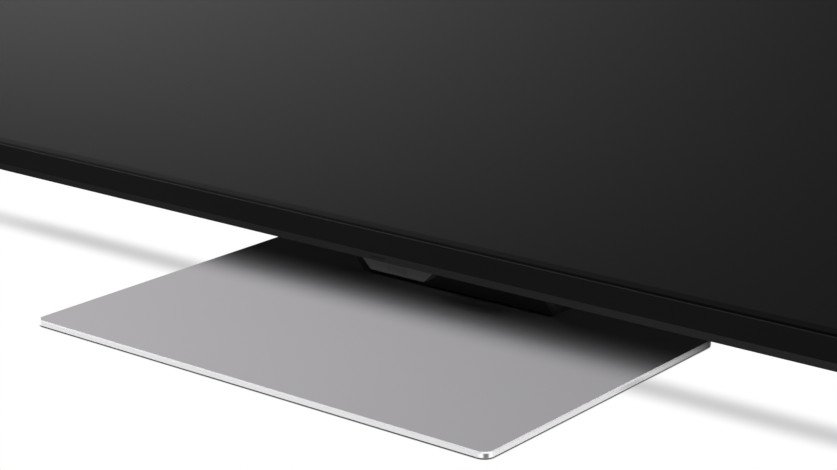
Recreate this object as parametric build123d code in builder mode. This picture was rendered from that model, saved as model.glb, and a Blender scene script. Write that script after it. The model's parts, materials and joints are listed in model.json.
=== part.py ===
from build123d import *

import os

# A flat screen television of the 55 inch class on a steel plate stand, in millimetres.
# The origin is on the floor under the middle of the plate. The screen faces -Y and +Z is up.

# Picture and the black glass round it
active_width = 1209.6
active_height = 680.4
picture_bottom = 93.7
side_border = 8.5
bottom_border = 5.9
glass_gap = 0.4
seam = 0.4

# Depths of the body, measured back from the floor origin
front_y = 9.0
slim_depth = 30.0
bulge_depth = 18.0

# Front frame and rear cover
edge_wall = 1.8
frame_depth = 13.0
body_corner_radius = 3.0
cover_wall = 2.0
cover_back_radius = 4.0
chin_chamfer_run = 4.0
chin_chamfer_drop = 7.8
chin_face_height = 19.2
chin_lip_bevel = 0.5
bulge_side_inset = 170.0
bulge_slope = 8.0
parting_gap = 0.4
chin_wall = 1.8
chin_boss_width = 16.0
chin_boss_height = 12.0

# Display stack
glass_recess = 0.6
polarizer_thickness = 0.2
cell_thickness = 1.4
guide_gap = 0.2
guide_ledge = 1.5
guide_skirt = 1.6
guide_depth = 12.8
guide_reveal = 1.0
film_gap = 0.4
prism_thickness = 0.3
dot_film_thickness = 0.3
diffuser_thickness = 1.5
chassis_gap = 0.1
chassis_sheet = 1.0
chassis_back_gap = 6.0
apron_inset = 15.0
apron_clearance = 3.6

# Backlight
led_rows = 6
led_columns = 10
strip_width = 14.0
strip_end_margin = 30.0
strip_thickness = 1.0
lens_radius = 8.0
lens_height = 5.0
lens_round = 2.5
lens_gap = 1.0
reflector_thickness = 0.3
reflector_flat_inset = 20.0
reflector_rim_gap = 0.4

# Wall mount and stand fastenings
wall_pitch = 300.0
wall_low_rise = 119.6
wall_top_margin = 30.0
wall_thread_radius = 2.5
wall_thread_depth = 22.0
insert_radius = 6.5
insert_gap = 0.3
stand_pitch_x = 120.0
stand_pitch_z = 45.0
stand_centre_rise = 87.1
stand_thread_radius = 2.1
stand_insert_radius = 5.5
stand_screw_radius = 2.0
stand_screw_length = 14.0
stand_head_radius = 4.0
stand_head_height = 2.5
screw_gap = 0.3
thread_gap = 0.1

# Terminals, seen on the right side from the front
terminal_x = 330.0
terminal_rise = 75.6
window_inset = 8.0
port_pitch = 22.0
port_top_margin = 20.0
port_bottom_margin = 22.0
port_fit = 0.3
port_proud = 1.0
port_depth = 13.0
port_wall = 1.0
hdmi_count = 4
hdmi_width = 16.0
hdmi_height = 6.8
usb_count = 2
usb_width = 15.0
usb_height = 7.8
network_width = 16.0
network_height = 11.0
network_wall = 1.8
network_depth = 18.0
aerial_radius = 4.8
aerial_bore_radius = 2.6
aerial_reach = 12.0
aerial_block = 12.0
aerial_collar_radius = 5.6
panel_gap = 0.1

# Mains side
mains_recess_height = 80.0
mains_recess_rise = 119.6
inlet_width = 24.0
inlet_height = 12.0
inlet_depth = 25.0
inlet_hollow_width = 18.0
inlet_hollow_height = 8.6
inlet_hollow_depth = 18.0
mains_pin_radius = 1.2
mains_pin_pitch = 8.6
mains_pin_length = 12.0

# Circuit boards
board_thickness = 1.6
standoff_height = 9.4
standoff_radius = 3.0
standoff_inset = 18.0
board_screw_radius = 1.4
board_screw_length = 6.0
board_insert_gap = 5.5
main_board_end_gap = 4.0
power_board_height = 200.0
power_board_rise = 20.0
board_wall_gap = 2.0
timing_board_width = 140.0
timing_board_height = 60.0
timing_board_rise = 164.6
board_screw_head_radius = 2.8
board_screw_head_height = 1.8
main_chip_size = 34.0
main_chip_height = 1.6
memory_chip_size = 12.0
memory_chip_height = 1.0
memory_chip_count = 4
memory_chip_pitch = 18.0
sink_size = 50.0
sink_base = 2.5
sink_fin_height = 6.5
sink_fin_thickness = 1.2
sink_fin_count = 8
transformer_width = 34.0
transformer_height = 28.0
transformer_depth = 11.0
transformer_count = 3
transformer_pitch = 56.0
capacitor_radius = 6.0
capacitor_height = 11.5
capacitor_count = 4
capacitor_pitch = 20.0
source_board_spacing = 76.8
source_board_height = 14.0
source_board_thickness = 1.2
source_board_rise = 7.6
source_film_count = 8
source_film_width = 40.0
source_film_thickness = 0.2
source_film_lap = 3.0
source_film_slot = 0.6
wireless_width = 36.0
wireless_height = 18.0
wireless_x = 90.0
wireless_rise = 5.6
wireless_board = 1.2
wireless_shield = 2.2

# Leads inside the cover
lead_radius = 1.2
lead_bend = 6.0
lead_board_gap = 0.2
lead_lap = 10.0
ribbon_width = 24.0
ribbon_pitch = 80.0
ribbon_thickness = 0.2
ribbon_slot = 4.0
harness_width = 8.0
harness_thickness = 1.4
harness_drop = 28.0
backlight_lead_x = 200.0
chassis_lead_hole = 3.0

# Loudspeakers
speaker_inner_x = 180.0
speaker_width = 180.0
speaker_height = 42.0
speaker_depth = 22.0
speaker_floor_gap = 0.6
speaker_wall = 2.0
cone_length = 66.0
cone_width = 14.0
cone_thickness = 3.0
cone_gap = 0.5
speaker_slot_count = 20
speaker_slot_pitch = 6.0
speaker_slot_width = 2.4
speaker_slot_length = 12.0

# Ventilation slots
vent_count = 48
vent_pitch = 12.0
vent_width = 3.0
vent_length = 22.0
vent_top_margin = 50.0

# Cover screws
cover_screw_rows = 4
cover_screw_edge = 25.5
cover_screw_bottom_margin = 21.6
cover_screw_top_margin = 18.8
cover_screw_radius = 1.5
cover_screw_head_radius = 3.2
cover_screw_head_height = 1.8
cover_screw_reach = 0.5
cover_boss_radius = 4.0

# Sensor pod under the bar
pod_front = 35.0
pod_drop = 17.6
pod_bottom_width = 56.8
pod_flare_share = 1.0625
pod_wall = 1.6
sensor_window_width = 20.0
sensor_window_height = 5.0
sensor_window_rise = 2.4
sensor_board_rise = 9.2
sensor_board_gap = 0.3
sensor_board_thickness = 1.2
button_radius = 4.0
button_proud = 0.9
button_flange_lip = 1.0
button_flange_room = 0.4
button_flange_height = 1.0
button_gap = 0.3
switch_start = 12.0
switch_length = 4.0
switch_width = 2.4
switch_travel = 3.0
switch_flange_margin = 2.5

# Stand plate
plate_width = 470.0
plate_depth = 310.0
plate_thickness = 4.8
plate_corner_radius = 9.0
plate_bevel = 1.0
plate_lower_bevel = 0.4
foot_proud = 1.0
foot_radius = 9.0
foot_pocket = 1.2
foot_gap = 0.3
foot_inset = 24.0
foot_columns = 3

# Neck
neck_width = 200.0
neck_sheet = 4.0
neck_foot_inset = 5.0
neck_foot_length = 30.0
neck_bend_drop = 29.0
neck_top_margin = 20.0
neck_bend_radius = 4.0
neck_pocket_gap = 0.5
neck_pocket_drop = 10.0
base_screw_pitch = 50.0
base_screw_count = 4
base_screw_radius = 2.5
base_screw_head_radius = 4.9
base_screw_recess = 0.2
base_screw_gap = 0.2
base_screw_angle = 90
neck_cover_wall = 2.0
neck_cover_gap = 0.3
neck_cover_low = 3.0
neck_cover_high = 14.0
rear_cover_rise = 14.0
rear_cover_top_margin = 8.0
rear_cover_head_gap = 0.8

# Cable holder on the back
holder_x = 175.0
holder_rise = 47.6
holder_height = 24.0
holder_width = 40.0
holder_base = 2.5
holder_arm = 3.0
holder_space = 13.0
gate_thickness = 2.0
gate_gap = 0.3
knuckle_radius = 3.5
knuckle_height = 6.0
gate_pin_radius = 1.5
gate_pin_gap = 0.05

# Overrun of cuts past a face
overrun = 5.0

# Sizes worked out from those above
glass_half = active_width / 2 + side_border
glass_bottom = picture_bottom - bottom_border
glass_top = picture_bottom + active_height + side_border
frame_inner_half = glass_half + glass_gap
frame_inner_top = glass_top + glass_gap
body_half = frame_inner_half + edge_wall
body_top = frame_inner_top + edge_wall
chin_top = glass_bottom - seam
chin_edge = chin_top - chin_face_height
body_bottom = chin_edge - chin_chamfer_drop
frame_back = front_y + frame_depth
cover_front = frame_back + parting_gap
slim_back = front_y + slim_depth
bulge_back = slim_back + bulge_depth
bulge_half = body_half - bulge_side_inset - bulge_slope
wall_low_height = body_bottom + wall_low_rise
wall_centre_height = wall_low_height + wall_pitch / 2
bulge_top_height = wall_low_height + wall_pitch + wall_top_margin
stand_centre_height = body_bottom + stand_centre_rise
neck_bend_height = stand_centre_height - stand_pitch_z / 2 - neck_bend_drop
neck_top_height = stand_centre_height + stand_pitch_z / 2 + neck_top_margin
polarizer_front = front_y + glass_recess
cell_front = polarizer_front + polarizer_thickness
cell_back = cell_front + cell_thickness
guide_half = frame_inner_half - guide_gap
guide_top = frame_inner_top - guide_gap
guide_back = cell_back + guide_depth
skirt_half = guide_half - guide_skirt
skirt_top = guide_top - guide_skirt
skirt_bottom = chin_top + guide_skirt
prism_front = cell_back + guide_ledge
dot_film_front = prism_front + prism_thickness
diffuser_front = dot_film_front + dot_film_thickness
diffuser_back = diffuser_front + diffuser_thickness
chassis_half = skirt_half - chassis_gap
chassis_top = skirt_top - chassis_gap
chassis_low = skirt_bottom + chassis_gap
chassis_back = slim_back - cover_wall - chassis_back_gap
chassis_front = chassis_back - chassis_sheet
apron_low = body_bottom + apron_clearance
strip_front = chassis_front - strip_thickness
board_front = chassis_back + standoff_height
board_back = board_front + board_thickness
window_front = board_back - port_fit
window_back = bulge_back - cover_wall - port_fit
port_count = hdmi_count + usb_count + 2
terminal_low = body_bottom + terminal_rise
terminal_high = terminal_low + port_bottom_margin + (port_count - 1) * port_pitch + port_top_margin
board_edge_x = terminal_x - cover_wall - board_wall_gap
board_width = board_edge_x - wall_pitch / 2 - insert_radius - board_insert_gap
timing_board_low = body_bottom + timing_board_rise
source_board_low = body_bottom + source_board_rise
source_board_start = source_board_spacing / 2
source_board_width = chassis_half - apron_inset - source_board_spacing
speaker_low = body_bottom + cover_wall + speaker_floor_gap
speaker_back = chassis_back + speaker_depth
plate_top = foot_proud + plate_thickness
pocket_floor = bulge_back - neck_sheet
neck_half = neck_width / 2
pod_bottom = body_bottom - pod_drop
pod_half = pod_bottom_width / 2
button_flange_radius = button_radius + button_flange_lip
pod_depth = 2 * (pod_wall + button_flange_room + button_flange_radius)

os.makedirs("parts", exist_ok=True)


def facing(y):
    """A plane parallel to the screen at depth y; its sketch axes are X and Z."""
    return Plane(origin=(0, y, 0), x_dir=(1, 0, 0), z_dir=(0, -1, 0))


def sideways(x):
    """A plane square to the width at x; its sketch axes are Y and Z."""
    return Plane(origin=(x, 0, 0), x_dir=(0, 1, 0), z_dir=(1, 0, 0))


def block(x, y, z, mode=Mode.ADD):
    """A rectangular block between a low and a high value along each axis."""
    with Locations((sum(x) / 2, sum(y) / 2, sum(z) / 2)):
        Box(abs(x[1] - x[0]), abs(y[1] - y[0]), abs(z[1] - z[0]), mode=mode)


def rod(x, z, y, radius, mode=Mode.ADD):
    """A round rod along Y from y[0] back to y[1]."""
    with BuildSketch(facing(y[1])) as disc:
        with Locations((x, z)):
            Circle(radius)
    extrude(disc.sketch, amount=y[1] - y[0], mode=mode)


def around(centre, length):
    """The low and high ends of a length about its centre."""
    return (centre - length / 2, centre + length / 2)


def tapered(front, back, mode=Mode.ADD):
    """A block between two rectangles facing the screen, each given as depth, half width, low and high."""
    ends = []
    for y, half, low, high in (front, back):
        with BuildSketch(facing(y)) as end:
            with Locations((0, (low + high) / 2)):
                Rectangle(2 * half, high - low)
        ends.append(end.sketch)
    loft(ends, mode=mode)


def stand_places():
    """The four places where the neck is screwed to the set."""
    half_x = stand_pitch_x / 2
    half_z = stand_pitch_z / 2
    return [(x, stand_centre_height + z) for x in (-half_x, half_x) for z in (-half_z, half_z)]


def wall_places():
    """The four corners of the wall mount pattern."""
    half = wall_pitch / 2
    return [(x, wall_centre_height + z) for x in (-half, half) for z in (-half, half)]


def cover_screw_places():
    """The rear cover's screws, in a column near each side."""
    side = body_half - cover_screw_edge
    low = body_bottom + cover_screw_bottom_margin
    pitch = (body_top - cover_screw_top_margin - low) / (cover_screw_rows - 1)
    return [(x, low + row * pitch) for x in (-side, side) for row in range(cover_screw_rows)]


def base_screw_places():
    """The X of each screw through the plate into the neck's foot."""
    first = -base_screw_pitch * (base_screw_count - 1) / 2
    return [first + index * base_screw_pitch for index in range(base_screw_count)]


def port_height(index):
    """The height of a port's centre, counted down from the top of the terminal recess."""
    return terminal_high - port_top_margin - index * port_pitch


def source_film_places():
    """The X of each film that joins the glass to a source board, spread over the two boards."""
    per_board = source_film_count // 2
    pitch = source_board_width / per_board
    first = source_board_start + pitch / 2
    right = [first + index * pitch for index in range(per_board)]
    return [-x for x in right] + right


def chin_boss_places():
    """The X of the bosses that carry the bar on the chassis, clear of the source boards."""
    side = chassis_half - apron_inset - source_board_start / 2
    return (-side, 0, side)


# Stand: base plate with its feet and screws

neck_foot_rear = plate_depth / 2 - neck_foot_inset
neck_foot_front = neck_foot_rear - neck_foot_length
base_screw_y = (neck_foot_rear + neck_foot_front) / 2 + neck_sheet / 2
base_head_height = base_screw_head_radius - base_screw_radius
foot_pitch_x = (plate_width - 2 * foot_inset) / (foot_columns - 1)
foot_pitch_y = plate_depth - 2 * foot_inset

with BuildPart() as base_plate:
    with BuildSketch(Plane.XY.offset(foot_proud)):
        RectangleRounded(plate_width, plate_depth, plate_corner_radius)
    extrude(amount=plate_thickness)
    chamfer(base_plate.faces().sort_by(Axis.Z)[-1].edges(), length=plate_bevel)
    chamfer(base_plate.faces().sort_by(Axis.Z)[0].edges(), length=plate_lower_bevel)
    with BuildSketch(Plane.XY.offset(foot_proud)):
        with GridLocations(foot_pitch_x, foot_pitch_y, foot_columns, 2):
            Circle(foot_radius + foot_gap)
    extrude(amount=foot_pocket, mode=Mode.SUBTRACT)
    for x in base_screw_places():
        with Locations(Plane(origin=(x, base_screw_y, foot_proud), z_dir=(0, 0, -1))):
            CounterSinkHole(
                radius=base_screw_radius + base_screw_gap,
                counter_sink_radius=base_screw_head_radius + base_screw_gap + base_screw_recess,
                depth=plate_thickness,
                counter_sink_angle=base_screw_angle,
            )
base_plate.part.label = "base_plate"
export_step(base_plate.part, "parts/base_plate.step")

with BuildPart() as base_feet:
    with BuildSketch(Plane.XY):
        with GridLocations(foot_pitch_x, foot_pitch_y, foot_columns, 2):
            Circle(foot_radius)
    extrude(amount=foot_proud + foot_pocket)
base_feet.part.label = "base_feet"
export_step(base_feet.part, "parts/base_feet.step")

with BuildPart() as base_screws:
    low = foot_proud + base_screw_recess
    for x in base_screw_places():
        with Locations((x, base_screw_y, low)):
            Cone(
                base_screw_head_radius,
                base_screw_radius,
                base_head_height,
                align=(Align.CENTER, Align.CENTER, Align.MIN),
            )
        with Locations((x, base_screw_y, low + base_head_height)):
            Cylinder(
                base_screw_radius,
                plate_top + neck_sheet - low - base_head_height,
                align=(Align.CENTER, Align.CENTER, Align.MIN),
            )
base_screws.part.label = "base_screws"
export_step(base_screws.part, "parts/base_screws.step")


# Neck: a bent steel sheet from the plate's rear up to the back of the set

web_low = Vector(0, neck_foot_front, plate_top + neck_sheet / 2)
web_high = Vector(0, pocket_floor + neck_sheet / 2, neck_bend_height)
web_along = (web_high - web_low).normalized()
web_front = Vector(0, -web_along.Z, web_along.Y)
web_plane = Plane(origin=web_low, x_dir=(1, 0, 0), z_dir=web_front)
web_length = (web_high - web_low).length


def web_point(distance, lift):
    """A Y and Z point at a distance up the web, lifted off its middle towards the rear."""
    point = web_low + web_along * distance - web_front * lift
    return (point.Y, point.Z)


def mitred(points, shift):
    """The same bent line moved sideways by shift, to the left of its direction, with sharp corners."""
    spots = [Vector(y, z) for y, z in points]
    turns = [(b - a).normalized() for a, b in zip(spots, spots[1:])]
    sides = [Vector(-t.Y, t.X) for t in turns]
    moved = [spots[0] + sides[0] * shift]
    for spot, before, after in zip(spots[1:], sides, sides[1:]):
        corner = before + after
        moved.append(spot + corner * (shift * 2 / corner.dot(corner)))
    moved.append(spots[-1] + sides[-1] * shift)
    return [(spot.X, spot.Y) for spot in moved]


neck_line = [
    (neck_foot_rear, web_low.Z),
    (web_low.Y, web_low.Z),
    (web_high.Y, web_high.Z),
    (web_high.Y, neck_top_height),
]

with BuildPart() as neck_bracket:
    with BuildSketch(sideways(-neck_half)):
        with BuildLine():
            inside = mitred(neck_line, -neck_sheet / 2)
            outside = mitred(neck_line, neck_sheet / 2)
            wide = neck_bend_radius + neck_sheet
            inner_bend = FilletPolyline(*inside, radius=[neck_bend_radius, wide])
            outer_bend = FilletPolyline(*outside, radius=[wide, neck_bend_radius])
            Line(inner_bend @ 0, outer_bend @ 0)
            Line(inner_bend @ 1, outer_bend @ 1)
        make_face()
    extrude(amount=neck_width)
    for x in base_screw_places():
        with Locations((x, base_screw_y, plate_top)):
            Cylinder(base_screw_radius + thread_gap, 2 * neck_sheet + overrun, mode=Mode.SUBTRACT)
    through = (pocket_floor - overrun, bulge_back + overrun)
    for x, z in stand_places():
        rod(x, z, through, stand_screw_radius + screw_gap, Mode.SUBTRACT)
neck_bracket.part.label = "neck_bracket"
export_step(neck_bracket.part, "parts/neck_bracket.step")

with BuildPart() as neck_screws:
    for x, z in stand_places():
        rod(x, z, (bulge_back - stand_screw_length, bulge_back), stand_screw_radius)
        rod(x, z, (bulge_back, bulge_back + stand_head_height), stand_head_radius)
neck_screws.part.label = "neck_screws"
export_step(neck_screws.part, "parts/neck_screws.step")

neck_cover_half = neck_half + neck_cover_gap + neck_cover_wall
neck_cover_length = web_length - neck_cover_low - neck_cover_high

with BuildPart() as neck_front_cover:
    middle = neck_cover_low + neck_cover_length / 2
    skin = neck_sheet / 2 + neck_cover_gap
    with BuildSketch(web_plane.offset(skin)):
        with Locations((0, middle)):
            Rectangle(2 * neck_cover_half, neck_cover_length)
    extrude(amount=neck_cover_wall)
    with BuildSketch(web_plane.offset(-neck_sheet / 2)):
        for x in (-neck_cover_half + neck_cover_wall / 2, neck_cover_half - neck_cover_wall / 2):
            with Locations((x, middle)):
                Rectangle(neck_cover_wall, neck_cover_length)
    extrude(amount=neck_sheet / 2 + skin)
neck_front_cover.part.label = "neck_front_cover"
export_step(neck_front_cover.part, "parts/neck_front_cover.step")

cover_lift = neck_sheet / 2 + neck_cover_gap + neck_cover_wall / 2
screw_cover_y = bulge_back + stand_head_height + rear_cover_head_gap + neck_cover_wall / 2
cover_start = web_point(rear_cover_rise, cover_lift)
cover_web_run = (cover_start[0] - screw_cover_y) / -web_along.Y
cover_bend = (screw_cover_y, cover_start[1] + cover_web_run * web_along.Z)
rear_cover_top = neck_top_height + rear_cover_top_margin
rear_cover_line = [cover_start, cover_bend, (screw_cover_y, rear_cover_top)]

with BuildPart() as neck_rear_cover:
    with BuildSketch(sideways(-neck_cover_half)):
        with BuildLine():
            Polyline(
                *mitred(rear_cover_line, -neck_cover_wall / 2),
                *reversed(mitred(rear_cover_line, neck_cover_wall / 2)),
                close=True,
            )
        make_face()
    extrude(amount=2 * neck_cover_half)
    lip = (bulge_back + neck_cover_gap, screw_cover_y)
    for side in (-1, 1):
        edge = (side * neck_cover_half, side * (neck_cover_half - neck_cover_wall))
        block(sorted(edge), lip, (cover_bend[1], rear_cover_top))
    block((-neck_cover_half, neck_cover_half), lip, (rear_cover_top - neck_cover_wall, rear_cover_top))
neck_rear_cover.part.label = "neck_rear_cover"
export_step(neck_rear_cover.part, "parts/neck_rear_cover.step")


# Cable holder, its swinging gate and the pin

holder_span = around(holder_x, holder_width)
holder_tall = (body_bottom + holder_rise, body_bottom + holder_rise + holder_height)
holder_base_back = bulge_back + holder_base
gate_front = holder_base_back + holder_space
hinge_x = holder_span[1] - holder_arm / 2
hinge_y = gate_front + gate_thickness / 2
low_knuckle = (holder_tall[0], holder_tall[0] + knuckle_height)
high_knuckle = (holder_tall[1] - knuckle_height, holder_tall[1])
gate_tall = (low_knuckle[1] + gate_gap, high_knuckle[0] - gate_gap)
knuckle_front = hinge_y - knuckle_radius - gate_gap


def knuckle(z, radius, mode=Mode.ADD):
    """A round barrel on the gate's hinge line between two heights."""
    with BuildSketch(Plane.XY.offset(z[0])) as disc:
        with Locations((hinge_x, hinge_y)):
            Circle(radius)
    extrude(disc.sketch, amount=z[1] - z[0], mode=mode)


with BuildPart() as cable_holder:
    block(holder_span, (bulge_back, holder_base_back), holder_tall)
    hinge_arm = (holder_span[1] - holder_arm, holder_span[1])
    plain_arm = (holder_span[0], holder_span[0] + holder_arm)
    block(plain_arm, (holder_base_back, gate_front - gate_gap), holder_tall)
    block(hinge_arm, (holder_base_back, knuckle_front), holder_tall)
    for ends in (low_knuckle, high_knuckle):
        block(hinge_arm, (knuckle_front, hinge_y), ends)
        knuckle(ends, knuckle_radius)
    knuckle(holder_tall, gate_pin_radius, Mode.SUBTRACT)
cable_holder.part.label = "cable_holder"
export_step(cable_holder.part, "parts/cable_holder.step")

with BuildPart() as cable_gate:
    block((holder_span[0], hinge_x), (gate_front, gate_front + gate_thickness), gate_tall)
    knuckle(gate_tall, knuckle_radius)
    knuckle(gate_tall, gate_pin_radius + gate_pin_gap, Mode.SUBTRACT)
cable_gate.part.label = "cable_gate"
export_step(cable_gate.part, "parts/cable_gate.step")

with BuildPart() as gate_pin:
    knuckle(holder_tall, gate_pin_radius)
gate_pin.part.label = "gate_pin"
export_step(gate_pin.part, "parts/gate_pin.step")


# Front frame, bar along the bottom and rear cover

chin_back_line = [
    (frame_back, chin_top),
    (front_y, chin_top),
    (front_y, chin_edge),
    (front_y + chin_chamfer_run, body_bottom),
    (frame_back, body_bottom),
]


def arch(half, low, high, radius, mode=Mode.ADD):
    """A rectangle between two heights with its two upper corners rounded, in the sketch being drawn."""
    with BuildLine() as edge:
        top = FilletPolyline((-half, low), (-half, high), (half, high), (half, low), radius=radius)
        Line(top @ 1, top @ 0)
    make_face(edge.edges(), mode=mode)


with BuildPart() as front_frame:
    with BuildSketch(facing(frame_back)):
        arch(body_half, chin_top, body_top, body_corner_radius)
        arch(frame_inner_half, chin_top, frame_inner_top, body_corner_radius - edge_wall, Mode.SUBTRACT)
    extrude(amount=frame_depth)
front_frame.part.label = "front_frame"
export_step(front_frame.part, "parts/front_frame.step")

with BuildPart() as bottom_bezel:
    with BuildSketch(sideways(-body_half)):
        with BuildLine():
            Polyline(*chin_back_line, *reversed(mitred(chin_back_line, chin_wall)), close=True)
        make_face()
    extrude(amount=2 * body_half)
    for start in (-body_half, body_half - chin_wall):
        with BuildSketch(sideways(start)):
            with BuildLine():
                Polyline(*chin_back_line, close=True)
            make_face()
        extrude(amount=chin_wall)
    lip = bottom_bezel.edges().filter_by(Axis.X).group_by(Axis.Z)[-1].sort_by(Axis.Y)[0]
    chamfer(lip, length=chin_lip_bevel)
    inner_front = front_y + chin_wall
    for x in source_film_places():
        slot = around(x, source_film_width + 2 * source_film_slot)
        slot_y = (inner_front, cell_back + source_film_slot)
        block(slot, slot_y, (chin_top - chin_wall, chin_top), Mode.SUBTRACT)
    for x in chin_boss_places():
        boss_z = (apron_low, apron_low + chin_boss_height)
        block(around(x, chin_boss_width), (inner_front, chassis_front), boss_z)
bottom_bezel.part.label = "bottom_bezel"
export_step(bottom_bezel.part, "parts/bottom_bezel.step")

pocket_x = (-neck_half - neck_pocket_gap, neck_half + neck_pocket_gap)
pocket_z = (neck_bend_height - neck_pocket_drop, neck_top_height + neck_pocket_gap)
mains_low = body_bottom + mains_recess_rise
mains_high = mains_low + mains_recess_height
inlet_z = (mains_low + mains_high) / 2
bulge_front_half = bulge_half + bulge_slope
bulge_front_top = bulge_top_height + bulge_slope
recess_floor = slim_back + cover_wall
recess_back = bulge_back + overrun
hollows = [
    ((terminal_x, body_half), (recess_floor, recess_back), (terminal_low, terminal_high)),
    ((-body_half, -terminal_x), (recess_floor, recess_back), (mains_low, mains_high)),
    (pocket_x, (pocket_floor, recess_back), pocket_z),
]

with BuildPart() as cover_cavity:
    with BuildSketch(facing(slim_back - cover_wall)):
        arch(
            body_half - cover_wall,
            body_bottom + cover_wall,
            body_top - cover_wall,
            body_corner_radius - cover_wall,
        )
    extrude(amount=slim_back - cover_wall - frame_back)
    floor = body_bottom + cover_wall
    tapered(
        (slim_back - cover_wall, bulge_front_half - cover_wall, floor, bulge_front_top - cover_wall),
        (bulge_back - cover_wall, bulge_half - cover_wall, floor, bulge_top_height - cover_wall),
    )
    for x, y, z in hollows:
        grown = [(low - cover_wall, high + cover_wall) for low, high in (x, y, z)]
        block(*grown, Mode.SUBTRACT)

with BuildPart() as rear_cover:
    with BuildSketch(facing(slim_back)):
        arch(body_half, body_bottom, body_top, body_corner_radius)
    extrude(amount=slim_back - cover_front)
    fillet(rear_cover.faces().sort_by(Axis.Y)[-1].edges().sort_by(Axis.Z)[1:], radius=cover_back_radius)
    tapered(
        (slim_back, bulge_front_half, body_bottom, bulge_front_top),
        (bulge_back, bulge_half, body_bottom, bulge_top_height),
    )
    for x, y, z in hollows:
        block(x, y, z, Mode.SUBTRACT)
    add(cover_cavity.part, mode=Mode.SUBTRACT)
    wall_x = (terminal_x - cover_wall, terminal_x)
    window_y = (window_front, window_back)
    block(wall_x, window_y, (terminal_low + window_inset, terminal_high - window_inset), Mode.SUBTRACT)
    inlet_hole_y = (board_back - port_fit, board_back + inlet_height + port_fit)
    inlet_hole_z = around(inlet_z, inlet_width + 2 * port_fit)
    block((-terminal_x, cover_wall - terminal_x), inlet_hole_y, inlet_hole_z, Mode.SUBTRACT)
    for x, z in cover_screw_places():
        rod(x, z, (chassis_back, slim_back - cover_wall / 2), cover_boss_radius)
    for x, z in cover_screw_places():
        rod(x, z, (chassis_back, slim_back), cover_screw_radius + screw_gap, Mode.SUBTRACT)
    for x, z in wall_places():
        rod(x, z, (bulge_back - cover_wall, bulge_back), insert_radius + insert_gap, Mode.SUBTRACT)
    for x, z in stand_places():
        rod(x, z, (pocket_floor - cover_wall, pocket_floor), stand_screw_radius + screw_gap, Mode.SUBTRACT)
    with BuildSketch(facing(bulge_back)):
        with Locations((0, bulge_top_height - vent_top_margin - vent_length / 2)):
            with GridLocations(vent_pitch, vent_length, vent_count, 1):
                SlotOverall(vent_length, vent_width, rotation=90)
    extrude(amount=cover_wall, mode=Mode.SUBTRACT)
    speaker_x = speaker_inner_x + speaker_width / 2
    speaker_y = (chassis_back + speaker_back) / 2
    with BuildSketch(Plane.XY.offset(body_bottom)):
        for x in (-speaker_x, speaker_x):
            with Locations((x, speaker_y)):
                with GridLocations(speaker_slot_pitch, speaker_slot_length, speaker_slot_count, 1):
                    SlotOverall(speaker_slot_length, speaker_slot_width, rotation=90)
    extrude(amount=cover_wall, mode=Mode.SUBTRACT)
rear_cover.part.label = "rear_cover"
export_step(rear_cover.part, "parts/rear_cover.step")

with BuildPart() as rear_cover_screws:
    for x, z in cover_screw_places():
        rod(x, z, (chassis_front - cover_screw_reach, slim_back), cover_screw_radius)
        rod(x, z, (slim_back, slim_back + cover_screw_head_height), cover_screw_head_radius)
rear_cover_screws.part.label = "rear_cover_screws"
export_step(rear_cover_screws.part, "parts/rear_cover_screws.step")


# Display stack, from the glass back to the steel chassis

def sheet(half, low, high, front, thickness):
    """A flat sheet of the display stack, added to the part being built."""
    block((-half, half), (front, front + thickness), (low, high))


film_half = skirt_half - film_gap
film_low = skirt_bottom + film_gap
film_high = skirt_top - film_gap

with BuildPart() as front_polarizer:
    sheet(glass_half, glass_bottom, glass_top, polarizer_front, polarizer_thickness)
front_polarizer.part.label = "front_polarizer"
export_step(front_polarizer.part, "parts/front_polarizer.step")

with BuildPart() as lcd_cell:
    sheet(glass_half, glass_bottom, glass_top, cell_front, cell_thickness)
lcd_cell.part.label = "lcd_cell"
export_step(lcd_cell.part, "parts/lcd_cell.step")

with BuildPart() as panel_guide:
    with BuildSketch(facing(guide_back)):
        arch(guide_half, chin_top, guide_top, body_corner_radius - edge_wall)
    extrude(amount=guide_depth)
    reveal_half = active_width / 2 + guide_reveal
    reveal = (picture_bottom - guide_reveal, picture_bottom + active_height + guide_reveal)
    block((-reveal_half, reveal_half), (cell_back, guide_back), reveal, Mode.SUBTRACT)
    block((-skirt_half, skirt_half), (prism_front, guide_back), (skirt_bottom, skirt_top), Mode.SUBTRACT)
    for x in source_film_places():
        slot = around(x, source_film_width + 2 * source_film_slot)
        notch = (chin_top, glass_bottom + source_film_lap + source_film_slot)
        block(slot, (cell_back, cell_back + source_film_slot), notch, Mode.SUBTRACT)
panel_guide.part.label = "panel_guide"
export_step(panel_guide.part, "parts/panel_guide.step")

with BuildPart() as prism_sheet:
    sheet(film_half, film_low, film_high, prism_front, prism_thickness)
prism_sheet.part.label = "prism_sheet"
export_step(prism_sheet.part, "parts/prism_sheet.step")

with BuildPart() as quantum_dot_film:
    sheet(film_half, film_low, film_high, dot_film_front, dot_film_thickness)
quantum_dot_film.part.label = "quantum_dot_film"
export_step(quantum_dot_film.part, "parts/quantum_dot_film.step")

with BuildPart() as diffuser_plate:
    sheet(film_half, film_low, film_high, diffuser_front, diffuser_thickness)
diffuser_plate.part.label = "diffuser_plate"
export_step(diffuser_plate.part, "parts/diffuser_plate.step")

led_pitch_x = active_width / led_columns
led_pitch_z = active_height / led_rows
picture_middle = picture_bottom + active_height / 2
light_half = chassis_half - chassis_sheet - reflector_rim_gap
light_low = chassis_low + chassis_sheet + reflector_rim_gap
light_high = chassis_top - chassis_sheet - reflector_rim_gap
light_rim = diffuser_back + reflector_rim_gap
reflector_outside = [
    (light_rim, light_half, light_low, light_high),
    (
        strip_front,
        light_half - reflector_flat_inset,
        light_low + reflector_flat_inset,
        light_high - reflector_flat_inset,
    ),
]

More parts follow.
